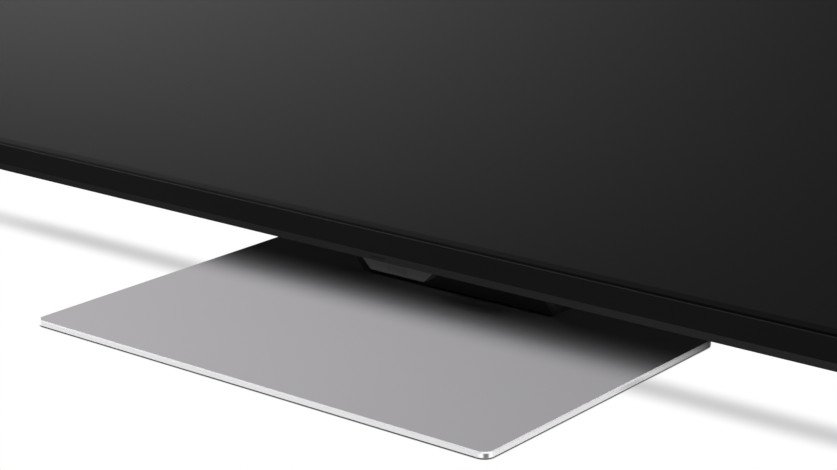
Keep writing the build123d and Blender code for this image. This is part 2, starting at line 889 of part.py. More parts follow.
with BuildPart() as reflector_sheet:
    tapered(*reflector_outside)
    tapered(*[(y - reflector_thickness, *size) for y, *size in reflector_outside], mode=Mode.SUBTRACT)
    with BuildSketch(facing(strip_front)):
        with Locations((0, picture_middle)):
            with GridLocations(led_pitch_x, led_pitch_z, led_columns, led_rows):
                Circle(lens_radius + lens_gap)
    extrude(amount=reflector_thickness, mode=Mode.SUBTRACT)
reflector_sheet.part.label = "reflector_sheet"
export_step(reflector_sheet.part, "parts/reflector_sheet.step")

with BuildPart() as led_strips:
    with BuildSketch(facing(chassis_front)):
        with Locations((0, picture_middle)):
            with GridLocations(led_pitch_x, led_pitch_z, 1, led_rows):
                Rectangle(2 * (chassis_half - strip_end_margin), strip_width)
    extrude(amount=strip_thickness)
led_strips.part.label = "led_strips"
export_step(led_strips.part, "parts/led_strips.step")

with BuildPart() as led_lenses:
    with BuildSketch(facing(strip_front)):
        with Locations((0, picture_middle)):
            with GridLocations(led_pitch_x, led_pitch_z, led_columns, led_rows):
                Circle(lens_radius)
    extrude(amount=lens_height)
    fillet(led_lenses.edges().group_by(Axis.Y)[0], radius=lens_round)
led_lenses.part.label = "led_lenses"
export_step(led_lenses.part, "parts/led_lenses.step")

ribbon_low = source_board_low + source_board_height / 2
ribbon_high = timing_board_low + lead_bend
ribbon_places = (-ribbon_pitch / 2, ribbon_pitch / 2)
power_board_z = around(inlet_z + power_board_rise, power_board_height)
lead_clear = power_board_z[1] + lead_bend + lead_radius
strip_heights = [picture_middle + (row - (led_rows - 1) / 2) * led_pitch_z for row in range(led_rows)]
backlight_lead_z = min(z for z in strip_heights if z > lead_clear)
backlight_end = (-backlight_lead_x, backlight_lead_z)

with BuildPart() as back_chassis:
    block((-chassis_half, chassis_half), (diffuser_back, chassis_back), (chassis_low, chassis_top))
    block(
        (chassis_sheet - chassis_half, chassis_half - chassis_sheet),
        (diffuser_back, chassis_front),
        (chassis_low + chassis_sheet, chassis_top - chassis_sheet),
        Mode.SUBTRACT,
    )
    apron_x = (apron_inset - chassis_half, chassis_half - apron_inset)
    block(apron_x, (chassis_front, chassis_back), (apron_low, chassis_low))
    for x, z in cover_screw_places():
        rod(x, z, (chassis_front, chassis_back), cover_screw_radius + thread_gap, Mode.SUBTRACT)
    for x in ribbon_places:
        slot = around(ribbon_low, ribbon_slot)
        block(around(x, ribbon_width + ribbon_slot), (chassis_front, chassis_back), slot, Mode.SUBTRACT)
    rod(*backlight_end, (chassis_front, chassis_back), chassis_lead_hole, Mode.SUBTRACT)
back_chassis.part.label = "back_chassis"
export_step(back_chassis.part, "parts/back_chassis.step")

with BuildPart() as wall_mount_inserts:
    for x, z in wall_places():
        rod(x, z, (chassis_back, bulge_back), insert_radius)
        rod(x, z, (bulge_back - wall_thread_depth, bulge_back), wall_thread_radius, Mode.SUBTRACT)
wall_mount_inserts.part.label = "wall_mount_inserts"
export_step(wall_mount_inserts.part, "parts/wall_mount_inserts.step")

with BuildPart() as stand_inserts:
    for x, z in stand_places():
        rod(x, z, (chassis_back, pocket_floor - cover_wall), stand_insert_radius)
        bore = (bulge_back - stand_screw_length - screw_gap, pocket_floor - cover_wall)
        rod(x, z, bore, stand_thread_radius, Mode.SUBTRACT)
stand_inserts.part.label = "stand_inserts"
export_step(stand_inserts.part, "parts/stand_inserts.step")


# Circuit boards and what stands on them

main_board_x = (board_edge_x - board_width, board_edge_x)
main_board_z = (terminal_low + main_board_end_gap, terminal_high - main_board_end_gap)
power_board_x = (-board_edge_x, board_width - board_edge_x)
timing_board_x = around(0, timing_board_width)
timing_board_z = (timing_board_low, timing_board_low + timing_board_height)
board_spans = [
    (main_board_x, main_board_z),
    (power_board_x, power_board_z),
    (timing_board_x, timing_board_z),
]


def corners(x, z):
    """The four screw places of a board."""
    columns = (x[0] + standoff_inset, x[1] - standoff_inset)
    rows = (z[0] + standoff_inset, z[1] - standoff_inset)
    return [(a, b) for a in columns for b in rows]


def board(x, z):
    """A bare board with its four screw holes."""
    block(x, (board_front, board_back), z)
    for a, b in corners(x, z):
        rod(a, b, (board_front, board_back), board_screw_radius + screw_gap, Mode.SUBTRACT)


with BuildPart() as main_board:
    board(main_board_x, main_board_z)
main_board.part.label = "main_board"
export_step(main_board.part, "parts/main_board.step")

with BuildPart() as power_board:
    board(power_board_x, power_board_z)
power_board.part.label = "power_board"
export_step(power_board.part, "parts/power_board.step")

with BuildPart() as timing_board:
    board(timing_board_x, timing_board_z)
timing_board.part.label = "timing_board"
export_step(timing_board.part, "parts/timing_board.step")

with BuildPart() as board_standoffs:
    for x, z in board_spans:
        for a, b in corners(x, z):
            rod(a, b, (chassis_back, board_front), standoff_radius)
            rod(a, b, (chassis_back, board_front), board_screw_radius + thread_gap, Mode.SUBTRACT)
board_standoffs.part.label = "board_standoffs"
export_step(board_standoffs.part, "parts/board_standoffs.step")

with BuildPart() as board_screws:
    for x, z in board_spans:
        for a, b in corners(x, z):
            rod(a, b, (board_back, board_back + board_screw_head_height), board_screw_head_radius)
            rod(a, b, (board_back - board_screw_length, board_back), board_screw_radius)
board_screws.part.label = "board_screws"
export_step(board_screws.part, "parts/board_screws.step")

main_middle_x = sum(main_board_x) / 2
main_middle_z = sum(main_board_z) / 2
memory_x = main_middle_x - sink_size / 2 - memory_chip_size
chip_back = board_back + main_chip_height

with BuildPart() as main_board_chips:
    chip_x = around(main_middle_x, main_chip_size)
    block(chip_x, (board_back, chip_back), around(main_middle_z, main_chip_size))
    for index in range(memory_chip_count):
        z = main_middle_z + (index - (memory_chip_count - 1) / 2) * memory_chip_pitch
        memory_y = (board_back, board_back + memory_chip_height)
        block(around(memory_x, memory_chip_size), memory_y, around(z, memory_chip_size))
main_board_chips.part.label = "main_board_chips"
export_step(main_board_chips.part, "parts/main_board_chips.step")

with BuildPart() as heat_sink:
    sink_z = around(main_middle_z, sink_size)
    fin_y = (chip_back + sink_base, chip_back + sink_base + sink_fin_height)
    block(around(main_middle_x, sink_size), (chip_back, fin_y[0]), sink_z)
    for index in range(sink_fin_count):
        share = index / (sink_fin_count - 1) - 1 / 2
        x = main_middle_x + share * (sink_size - sink_fin_thickness)
        block(around(x, sink_fin_thickness), fin_y, sink_z)
heat_sink.part.label = "heat_sink"
export_step(heat_sink.part, "parts/heat_sink.step")

power_middle_x = sum(power_board_x) / 2
power_middle_z = sum(power_board_z) / 2

with BuildPart() as power_transformers:
    for index in range(transformer_count):
        z = power_middle_z + (index - (transformer_count - 1) / 2) * transformer_pitch
        transformer_y = (board_back, board_back + transformer_depth)
        block(around(power_middle_x, transformer_width), transformer_y, around(z, transformer_height))
power_transformers.part.label = "power_transformers"
export_step(power_transformers.part, "parts/power_transformers.step")

with BuildPart() as power_capacitors:
    for index in range(capacitor_count):
        z = power_middle_z + (index - (capacitor_count - 1) / 2) * capacitor_pitch
        x = power_middle_x + transformer_width / 2 + 2 * capacitor_radius
        rod(x, z, (board_back, board_back + capacitor_height), capacitor_radius)
power_capacitors.part.label = "power_capacitors"
export_step(power_capacitors.part, "parts/power_capacitors.step")

source_board_x = (source_board_start, source_board_start + source_board_width)
source_board_y = (chassis_front - source_board_thickness, chassis_front)
source_board_z = (source_board_low, source_board_low + source_board_height)

with BuildPart() as source_boards:
    block(source_board_x, source_board_y, source_board_z)
    block((-source_board_x[1], -source_board_x[0]), source_board_y, source_board_z)
source_boards.part.label = "source_boards"
export_step(source_boards.part, "parts/source_boards.step")

with BuildPart() as source_films:
    film_turn = source_board_low + source_film_lap
    for x in source_film_places():
        film_x = around(x, source_film_width)
        film_back = cell_back + source_film_thickness
        block(film_x, (cell_back, film_back), (film_turn, glass_bottom + source_film_lap))
        block(film_x, (cell_back, source_board_y[0]), (film_turn, film_turn + source_film_thickness))
source_films.part.label = "source_films"
export_step(source_films.part, "parts/source_films.step")

with BuildPart() as wireless_module:
    module_z = (body_bottom + wireless_rise, body_bottom + wireless_rise + wireless_height)
    shield_y = (chassis_back + wireless_board, chassis_back + wireless_board + wireless_shield)
    block(around(wireless_x, wireless_width), (chassis_back, shield_y[0]), module_z)
    shield_inset = 2 * wireless_shield
    block(
        around(wireless_x, wireless_width - shield_inset),
        shield_y,
        around(sum(module_z) / 2, wireless_height - shield_inset),
    )
wireless_module.part.label = "wireless_module"
export_step(wireless_module.part, "parts/wireless_module.step")


# Sockets

port_x = (terminal_x + port_proud - port_depth, terminal_x + port_proud)
network_z = port_height(port_count - 2)
aerial_z = port_height(port_count - 1)
aerial_y = board_back + aerial_block / 2
aerial_block_x = (terminal_x - cover_wall - port_fit - aerial_block, terminal_x - cover_wall - port_fit)


def port(z, width, height, x, wall):
    """A metal socket shell on the board, open towards +X."""
    block(x, (board_back, board_back + height), around(z, width))
    mouth = (x[0] + wall, x[1])
    mouth_y = (board_back + wall, board_back + height - wall)
    block(mouth, mouth_y, around(z, width - 2 * wall), Mode.SUBTRACT)


with BuildPart() as hdmi_ports:
    for index in range(hdmi_count):
        port(port_height(index), hdmi_width, hdmi_height, port_x, port_wall)
hdmi_ports.part.label = "hdmi_ports"
export_step(hdmi_ports.part, "parts/hdmi_ports.step")

with BuildPart() as usb_ports:
    for index in range(hdmi_count, hdmi_count + usb_count):
        port(port_height(index), usb_width, usb_height, port_x, port_wall)
usb_ports.part.label = "usb_ports"
export_step(usb_ports.part, "parts/usb_ports.step")

with BuildPart() as network_port:
    port(network_z, network_width, network_height, (port_x[1] - network_depth, port_x[1]), network_wall)
network_port.part.label = "network_port"
export_step(network_port.part, "parts/network_port.step")

with BuildPart() as aerial_socket:
    block(aerial_block_x, (board_back, board_back + aerial_block), around(aerial_z, aerial_block))
    turned = [
        (aerial_collar_radius, port_x[1], Mode.ADD),
        (aerial_radius, terminal_x + aerial_reach, Mode.ADD),
        (aerial_bore_radius, terminal_x + aerial_reach, Mode.SUBTRACT),
    ]
    for radius, end, mode in turned:
        with BuildSketch(sideways(aerial_block_x[1])):
            with Locations((aerial_y, aerial_z)):
                Circle(radius)
        extrude(amount=end - aerial_block_x[1], mode=mode)
aerial_socket.part.label = "aerial_socket"
export_step(aerial_socket.part, "parts/aerial_socket.step")

with BuildPart() as terminal_panel:
    panel_z = (terminal_low + window_inset + panel_gap, terminal_high - window_inset - panel_gap)
    block(wall_x, (window_front + panel_gap, window_back - panel_gap), panel_z)
    sizes = [(hdmi_width, hdmi_height)] * hdmi_count + [(usb_width, usb_height)] * usb_count
    sizes.append((network_width, network_height))
    for index, (width, height) in enumerate(sizes):
        hole = around(port_height(index), width + 2 * port_fit)
        block(wall_x, (window_front, board_back + height + port_fit), hole, Mode.SUBTRACT)
    with BuildSketch(sideways(wall_x[0])):
        with Locations((aerial_y, aerial_z)):
            Circle(aerial_collar_radius + port_fit)
    extrude(amount=cover_wall, mode=Mode.SUBTRACT)
terminal_panel.part.label = "terminal_panel"
export_step(terminal_panel.part, "parts/terminal_panel.step")

inlet_x = (-terminal_x - port_proud, inlet_depth - terminal_x - port_proud)
inlet_floor = inlet_x[0] + inlet_hollow_depth
inlet_y = board_back + inlet_height / 2

with BuildPart() as power_inlet:
    block(inlet_x, (board_back, board_back + inlet_height), around(inlet_z, inlet_width))
    hollow_y = around(inlet_y, inlet_hollow_height)
    block((inlet_x[0], inlet_floor), hollow_y, around(inlet_z, inlet_hollow_width), Mode.SUBTRACT)
power_inlet.part.label = "power_inlet"
export_step(power_inlet.part, "parts/power_inlet.step")

with BuildPart() as inlet_pins:
    with BuildSketch(sideways(inlet_floor)):
        with Locations((inlet_y, inlet_z)):
            with GridLocations(inlet_hollow_height, mains_pin_pitch, 1, 2):
                Circle(mains_pin_radius)
    extrude(amount=-mains_pin_length)
inlet_pins.part.label = "inlet_pins"
export_step(inlet_pins.part, "parts/inlet_pins.step")


# Leads and ribbons, each held along its whole run

with BuildPart() as panel_ribbons:
    for x in ribbon_places:
        flat = around(x, ribbon_width)
        block(flat, (chassis_back, chassis_back + ribbon_thickness), (ribbon_low, ribbon_high))
        block(flat, (chassis_back, board_front), (ribbon_high - ribbon_thickness, ribbon_high))
        block(flat, (chassis_front, chassis_back), (ribbon_low, ribbon_low + ribbon_thickness))
panel_ribbons.part.label = "panel_ribbons"
export_step(panel_ribbons.part, "parts/panel_ribbons.step")

with BuildPart() as power_harness:
    harness_x = (power_board_x[1] - lead_lap, main_board_x[0] + lead_lap)
    harness_z = around(main_board_z[1] - harness_drop, harness_width)
    block(harness_x, (board_back, board_back + harness_thickness), harness_z)
power_harness.part.label = "power_harness"
export_step(power_harness.part, "parts/power_harness.step")


def lead(points):
    """A round lead along straight runs joined by arcs."""
    with BuildLine() as route:
        FilletPolyline(*points, radius=lead_bend)
    with BuildSketch(Plane(origin=route.line @ 0, z_dir=route.line % 0)) as disc:
        Circle(lead_radius)
    sweep(disc.sketch, path=route.line)


lead_y = board_back + lead_board_gap + lead_radius
speaker_top = speaker_low + speaker_height
lead_turn_z = (speaker_top + main_board_z[0]) / 2 - lead_bend

with BuildPart() as speaker_leads:
    start_z = main_board_z[0] + lead_lap
    near_x = main_board_x[0] + 2 * lead_lap
    far_x = speaker_x
    lead(
        [
            (far_x - lead_lap, lead_y, start_z),
            (far_x, lead_y, (start_z + speaker_top) / 2),
            (far_x, lead_y, speaker_top),
        ]
    )
    lead(
        [
            (near_x, lead_y, start_z),
            (near_x, lead_y, lead_turn_z),
            (-far_x, lead_y, lead_turn_z),
            (-far_x, lead_y, speaker_top),
        ]
    )
speaker_leads.part.label = "speaker_leads"
export_step(speaker_leads.part, "parts/speaker_leads.step")

with BuildPart() as backlight_lead:
    lead(
        [
            (-backlight_lead_x, lead_y, power_board_z[1] - lead_lap),
            (-backlight_lead_x, lead_y, backlight_lead_z),
            (-backlight_lead_x, chassis_front, backlight_lead_z),
        ]
    )
backlight_lead.part.label = "backlight_lead"
export_step(backlight_lead.part, "parts/backlight_lead.step")


# Loudspeakers, which face down through the slots

cone_low = speaker_low + speaker_wall / 2
for name, middle in (("left", -speaker_x), ("right", speaker_x)):
    with BuildPart() as speaker_box:
        box_x = around(middle, speaker_width)
        block(box_x, (chassis_back, speaker_back), (speaker_low, speaker_top))
        block(
            (box_x[0] + speaker_wall, box_x[1] - speaker_wall),
            (chassis_back + speaker_wall, speaker_back - speaker_wall),
            (speaker_low + speaker_wall, speaker_top - speaker_wall),
            Mode.SUBTRACT,
        )
        with BuildSketch(Plane.XY.offset(speaker_low)):
            with Locations((middle, speaker_y)):
                SlotOverall(cone_length + 2 * cone_gap, cone_width + 2 * cone_gap)
        extrude(amount=speaker_wall, mode=Mode.SUBTRACT)
    speaker_box.part.label = name + "_speaker_box"
    export_step(speaker_box.part, "parts/" + name + "_speaker_box.step")

    with BuildPart() as speaker_cone:
        with BuildSketch(Plane.XY.offset(cone_low)):
            with Locations((middle, speaker_y)):
                SlotOverall(cone_length, cone_width)
        extrude(amount=cone_thickness)
    speaker_cone.part.label = name + "_speaker_cone"
    export_step(speaker_cone.part, "parts/" + name + "_speaker_cone.step")


# Sensor pod under the bar

pod_back = pod_front + pod_depth
pod_middle = (pod_front + pod_back) / 2
pod_inner_floor = pod_bottom + pod_wall
pod_side_wall = pod_wall * (1 + pod_flare_share**2) ** (1 / 2)


def pod_outline(inset, low):
    """The pod's flared outline from a low edge up to the underside of the body."""
    low_half = pod_half + (low - pod_bottom) * pod_flare_share - inset
    high_half = pod_half + pod_drop * pod_flare_share - inset
    right = [(low_half, low), (high_half, body_bottom)]
    left = [(-high_half, body_bottom), (-low_half, low)]
    with BuildLine() as edge:
        Polyline(*right, *left, close=True)
    make_face(edge.edges())


window_x = around(0, sensor_window_width)
window_z = (pod_bottom + sensor_window_rise, pod_bottom + sensor_window_rise + sensor_window_height)
switch_x = (switch_start, switch_start + switch_length)
flange_low = pod_inner_floor + button_gap

with BuildPart() as sensor_pod:
    with BuildSketch(facing(pod_back)):
        pod_outline(0, pod_bottom)
    extrude(amount=pod_depth)
    with BuildSketch(facing(pod_back - pod_wall)):
        pod_outline(pod_side_wall, pod_inner_floor)
    extrude(amount=pod_depth - 2 * pod_wall, mode=Mode.SUBTRACT)
    block(window_x, (pod_front, pod_front + pod_wall), window_z, Mode.SUBTRACT)
    with BuildSketch(Plane.XY.offset(pod_bottom)):
        with Locations((0, pod_middle)):
            Circle(button_radius + button_gap)
    extrude(amount=pod_wall, mode=Mode.SUBTRACT)
    slot_x = (switch_x[0] - button_gap, switch_x[1] + switch_travel + button_gap)
    slot_y = around(pod_middle, switch_width + 2 * button_gap)
    block(slot_x, slot_y, (pod_bottom, pod_inner_floor), Mode.SUBTRACT)
sensor_pod.part.label = "sensor_pod"
export_step(sensor_pod.part, "parts/sensor_pod.step")

with BuildPart() as sensor_window:
    block(window_x, (pod_front, pod_front + pod_wall), window_z)
sensor_window.part.label = "sensor_window"
export_step(sensor_window.part, "parts/sensor_window.step")

with BuildPart() as sensor_board:
    sensor_low = pod_bottom + sensor_board_rise
    half = pod_half + sensor_board_rise * pod_flare_share - pod_side_wall - sensor_board_gap
    rim = pod_wall + sensor_board_gap
    sensor_z = (sensor_low, sensor_low + sensor_board_thickness)
    block((-half, half), (pod_front + rim, pod_back - rim), sensor_z)
sensor_board.part.label = "sensor_board"
export_step(sensor_board.part, "parts/sensor_board.step")

with BuildPart() as power_button:
    with BuildSketch(Plane.XY.offset(pod_bottom - button_proud)):
        with Locations((0, pod_middle)):
            Circle(button_radius)
    extrude(amount=flange_low - pod_bottom + button_proud)
    with BuildSketch(Plane.XY.offset(flange_low)):
        with Locations((0, pod_middle)):
            Circle(button_flange_radius)
    extrude(amount=button_flange_height)
power_button.part.label = "power_button"
export_step(power_button.part, "parts/power_button.step")

with BuildPart() as microphone_switch:
    block(switch_x, around(pod_middle, switch_width), (pod_bottom - button_proud, flange_low))
    flange_x = (switch_x[0] - switch_flange_margin, switch_x[1] + switch_flange_margin)
    flange_y = around(pod_middle, switch_width + 2 * switch_flange_margin)
    block(flange_x, flange_y, (flange_low, flange_low + button_flange_height))
microphone_switch.part.label = "microphone_switch"
export_step(microphone_switch.part, "parts/microphone_switch.step")
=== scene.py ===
import json
import math

import bpy
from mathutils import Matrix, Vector


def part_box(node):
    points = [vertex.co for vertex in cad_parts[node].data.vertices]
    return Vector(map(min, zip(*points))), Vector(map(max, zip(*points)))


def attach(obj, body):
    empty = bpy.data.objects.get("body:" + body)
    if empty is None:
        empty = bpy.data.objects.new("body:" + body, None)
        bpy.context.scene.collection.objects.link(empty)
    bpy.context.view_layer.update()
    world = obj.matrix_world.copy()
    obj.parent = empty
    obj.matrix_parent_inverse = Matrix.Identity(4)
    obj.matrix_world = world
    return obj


# A flat screen television on its plate stand, dressed for the studio. Lengths are in metres.

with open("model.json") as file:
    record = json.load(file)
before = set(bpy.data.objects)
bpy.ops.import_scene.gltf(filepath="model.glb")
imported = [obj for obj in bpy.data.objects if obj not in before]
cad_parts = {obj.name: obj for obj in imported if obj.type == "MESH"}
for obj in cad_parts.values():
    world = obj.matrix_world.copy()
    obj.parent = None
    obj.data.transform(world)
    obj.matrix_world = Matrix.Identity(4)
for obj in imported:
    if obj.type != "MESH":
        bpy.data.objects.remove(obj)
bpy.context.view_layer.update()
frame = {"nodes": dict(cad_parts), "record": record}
nodes = frame["nodes"]


# Camera, set by the perspective of the plate's edges and of the bar's lower edge

CAMERA_LENS = 92.48
CAMERA_SPOT = (1.069824, -1.283344, 0.591224)
CAMERA_AZIMUTH = math.radians(38.459)
CAMERA_RISE = math.radians(16.825)
CAMERA_NEAR = 0.05
CAMERA_FAR = 50


def aim(item, toward):
    """Turns a camera or a lamp to look along a direction."""
    item.rotation_mode = "QUATERNION"
    item.rotation_quaternion = toward.to_track_quat("-Z", "Y")


def add_camera():
    data = bpy.data.cameras.new("camera")
    data.lens = CAMERA_LENS
    data.clip_start = CAMERA_NEAR
    data.clip_end = CAMERA_FAR
    camera = bpy.data.objects.new("camera", data)
    camera.location = CAMERA_SPOT
    back = Vector(
        (
            math.sin(CAMERA_AZIMUTH) * math.cos(CAMERA_RISE),
            -math.cos(CAMERA_AZIMUTH) * math.cos(CAMERA_RISE),
            math.sin(CAMERA_RISE),
        )
    )
    aim(camera, -back)
    bpy.context.scene.collection.objects.link(camera)
    bpy.context.scene.camera = camera


# Shader helpers

# The part of a noise's range that its values fill
NOISE_LOW = 0.3
NOISE_HIGH = 0.7


def grey(value):
    return (value, value, value, 1.0)


def shade(tone, factor):
    return tuple(min(1.0, c * factor) for c in tone) + (1.0,)


def around(tone, change):
    """A darker and a lighter version of a tone."""
    return shade(tone, 1 - change), shade(tone, 1 + change)


class Shader:
    """The node tree of a material or of the world, with short calls for the nodes used here."""

    def __init__(self, owner, output="ShaderNodeOutputMaterial"):
        owner.use_nodes = True
        self.owner = owner
        self.tree = owner.node_tree
        self.tree.nodes.clear()
        self.out = self.tree.nodes.new(output)

    def feed(self, socket, value):
        if isinstance(value, bpy.types.NodeSocket):
            self.tree.links.new(value, socket)
        else:
            socket.default_value = value

    def node(self, kind, inputs=None, **settings):
        made = self.tree.nodes.new(kind)
        for key, value in settings.items():
            setattr(made, key, value)
        for key, value in (inputs or {}).items():
            self.feed(made.inputs[key], value)
        return made

    def math(self, operation, first, second=0.0):
        return self.node("ShaderNodeMath", {0: first, 1: second}, operation=operation).outputs[0]

    def times(self, first, second):
        return self.math("MULTIPLY", first, second)

    def absolute(self, value):
        return self.math("ABSOLUTE", value)

    def spread(self, value, low, high, to_low=0.0, to_high=1.0, smooth=False):
        """Maps the range from low to high onto another, and holds the ends."""
        kind = "SMOOTHSTEP" if smooth else "LINEAR"
        keys = ("Value", "From Min", "From Max", "To Min", "To Max")
        inputs = dict(zip(keys, (value, low, high, to_low, to_high)))
        return self.node("ShaderNodeMapRange", inputs, interpolation_type=kind).outputs[0]

    def follow(self, noise, low, high):
        """A value that goes from low to high with a noise."""
        return self.spread(noise, NOISE_LOW, NOISE_HIGH, low, high)

    def place(self):
        """The point's place in the object's own frame."""
        return self.node("ShaderNodeTexCoord").outputs["Object"]

    def parts(self, vector):
        return self.node("ShaderNodeSeparateXYZ", {0: vector}).outputs[:3]

    def facing(self):
        """The unbumped surface's direction in the object's own frame."""
        return self.parts(self.node("ShaderNodeTexCoord").outputs["Normal"])

    def noise(self, scale, detail=2.0, stretch=(1, 1, 1)):
        point = self.node("ShaderNodeMapping", {"Vector": self.place(), "Scale": stretch}).outputs[0]
        inputs = {"Vector": point, "Scale": scale, "Detail": detail}
        return self.node("ShaderNodeTexNoise", inputs).outputs["Fac"]

    def cells(self, scale):
        return self.node("ShaderNodeTexVoronoi", {"Vector": self.place(), "Scale": scale}).outputs

    def blend(self, share, first, second):
        return self.node("ShaderNodeMix", {0: share, 6: first, 7: second}, data_type="RGBA").outputs[2]

    def bump(self, height, distance, strength, under=None):
        inputs = {"Height": height, "Distance": distance, "Strength": strength}
        if under is not None:
            inputs["Normal"] = under
        return self.node("ShaderNodeBump", inputs).outputs[0]

    def principled(self, **inputs):
        named = {key.replace("_", " "): value for key, value in inputs.items()}
        return self.node("ShaderNodeBsdfPrincipled", named)

    def mixed(self, share, first, second):
        inputs = {0: share, 1: first.outputs[0], 2: second.outputs[0]}
        return self.node("ShaderNodeMixShader", inputs)

    def open_view(self):
        """1 where the camera looks, also by mirror or through glass, and 0 where light bounces."""
        path = self.node("ShaderNodeLightPath").outputs
        ray = self.math("MAXIMUM", path["Is Camera Ray"], path["Is Glossy Ray"])
        ray = self.math("MAXIMUM", ray, path["Is Transmission Ray"])
        return self.times(ray, self.math("LESS_THAN", path["Diffuse Depth"], 0.5))

    def finish(self, shader):
        self.tree.links.new(shader.outputs[0], self.out.inputs["Surface"])
        return self.owner


def new_material(name):
    return Shader(bpy.data.materials.new(name))


# Materials, one for each of the record's slots

MOULDED_GLOSS_CHANGE = 0.03


def moulded(name, tone, roughness, level, grain, depth, mottle):
    """Moulded plastic or paint: a tight grain in the bump, and a slow mottling in tone and gloss."""
    s = new_material(name)
    slow = s.noise(scale=14.0, detail=3.0)
    fine = s.noise(scale=1 / grain)
    return s.finish(
        s.principled(
            Base_Color=s.blend(slow, *around(tone, mottle)),
            Roughness=s.follow(slow, roughness - MOULDED_GLOSS_CHANGE, roughness + MOULDED_GLOSS_CHANGE),
            Specular_IOR_Level=level,
            Normal=s.bump(fine, depth, strength=0.5),
        )
    )


METAL_TONE_CHANGE = 0.07
METAL_GLOSS_CHANGE = 0.04
METAL_MARK_DEPTH = 0.000004


def metal(name, tone, roughness, stretch, scale):
    """Bare metal with faint marks along one direction."""
    s = new_material(name)
    marks = s.noise(scale, detail=4.0, stretch=stretch)
    return s.finish(
        s.principled(
            Base_Color=s.blend(marks, *around(tone, METAL_TONE_CHANGE)),
            Metallic=1.0,
            Roughness=s.follow(marks, roughness - METAL_GLOSS_CHANGE, roughness + METAL_GLOSS_CHANGE),
            Normal=s.bump(marks, METAL_MARK_DEPTH, strength=0.4),
        )
    )


PLATE_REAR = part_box("base_plate")[1].y

# Toward the rear the plate's left and right sides and their bevel carry a painted reflection of the dark
# set, in full from PAINTED_REFLECTION_FULL on
PAINTED_REFLECTION_START = PLATE_REAR - 0.105
PAINTED_REFLECTION_FULL = PLATE_REAR - 0.010
PAINTED_REFLECTION_TONE = grey(0.03)

# Ranges of the surface's direction: sideways for the sides and the front's bevel,
# upward for the bevel and the top, and round a corner for its painted glint and the painted dark
# reflection in its middle
SIDE_FACING = (0.5, 0.6)
SIDE_BEVEL_FACING = (0.2, 0.6)
BEVEL_FACING = (0.30, 0.45)
TOP_FACING = (0.85, 0.95)
PAINTED_GLINT_TURN = (0.15, 0.65)
PAINTED_DIP_TURN = (0.82, 0.98)

# Each pair of tones is a noise's low and high end
SIDE_TONES = ((0.71, 0.705, 0.72, 1), (0.75, 0.745, 0.76, 1))
TOP_TONES = ((0.367, 0.357, 0.373, 1), (0.385, 0.375, 0.391, 1))
FRONT_BEVEL_TONES = (grey(0.56), grey(0.60))
SIDE_BEVEL_PAINTED_HIGHLIGHT_TONE = grey(0.95)
PAINTED_GLINT_TONE = grey(0.97)
PAINTED_DIP_TONE = grey(0.20)


def plate_metal(name):
    """A satin top, a bright bevel, and cut sides, with painted light: a painted highlight on the bevel
    where it faces sideways, a painted glint with a painted dark reflection in the middle of each rounded
    corner, and a painted reflection of the dark set on the sides and the bevel toward the rear.
    """
    s = new_material(name)
    slow = s.noise(scale=3.0)
    fine = s.noise(scale=900.0, detail=3.0)
    across, along, up = s.facing()
    sideways = s.absolute(across)
    # 0 on the straight sides and 1 in the middle of a rounded corner
    turn = s.times(s.absolute(s.times(across, along)), 2.0)
    # Painted reflection of the dark set: the sides and the side bevel grow darker toward the rear
    painted_reflection_reach = s.spread(s.parts(s.place())[1], PAINTED_REFLECTION_START, PAINTED_REFLECTION_FULL)
    painted_reflection_share = s.times(painted_reflection_reach, s.spread(sideways, *SIDE_FACING))
    # Painted glint round each rounded corner, with a painted dark reflection in its middle
    corner = s.blend(s.spread(turn, *PAINTED_GLINT_TURN), s.blend(slow, *SIDE_TONES), PAINTED_GLINT_TONE)
    corner = s.blend(s.spread(turn, *PAINTED_DIP_TURN), corner, PAINTED_DIP_TONE)
    cut = s.principled(
        Base_Color=s.blend(painted_reflection_share, corner, PAINTED_REFLECTION_TONE),
        Metallic=0.6,
        Roughness=s.follow(slow, 0.24, 0.30),
        Specular_IOR_Level=0.0,
    )
    rim = s.blend(slow, *FRONT_BEVEL_TONES)
    # Where the bevel faces sideways it gets a painted highlight
    rim = s.blend(s.spread(sideways, *SIDE_BEVEL_FACING), rim, SIDE_BEVEL_PAINTED_HIGHLIGHT_TONE)
    bevel = s.principled(
        Base_Color=s.blend(painted_reflection_share, rim, PAINTED_REFLECTION_TONE),
        Metallic=0.1,
        Roughness=s.follow(slow, 0.44, 0.50),
        Specular_IOR_Level=0.1,
    )
    satin = s.principled(
        Base_Color=s.blend(slow, *TOP_TONES),
        Roughness=s.follow(fine, 0.50, 0.56),
        Specular_IOR_Level=0.0,
        IOR=1.0,
        Normal=s.bump(fine, 0.000003, strength=0.3),
    )
    edge = s.mixed(s.spread(up, *BEVEL_FACING), cut, bevel)
    return s.finish(s.mixed(s.spread(up, *TOP_FACING), edge, satin))


FILM_LOW, FILM_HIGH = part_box("front_polarizer")
SIDE_BORDER = 0.0085
BOTTOM_BORDER = 0.0059
PICTURE_HALF = FILM_HIGH.x - SIDE_BORDER
PICTURE_LOW = FILM_LOW.z + BOTTOM_BORDER
PICTURE_HIGH = FILM_HIGH.z - SIDE_BORDER
PICTURE_BLUR = 0.0004

# The film's lowest 2 mm have no gloss: painted shade for the dark line of the seam above the bar
PAINTED_SEAM_SHADE_TOP = FILM_LOW.z + 0.0020


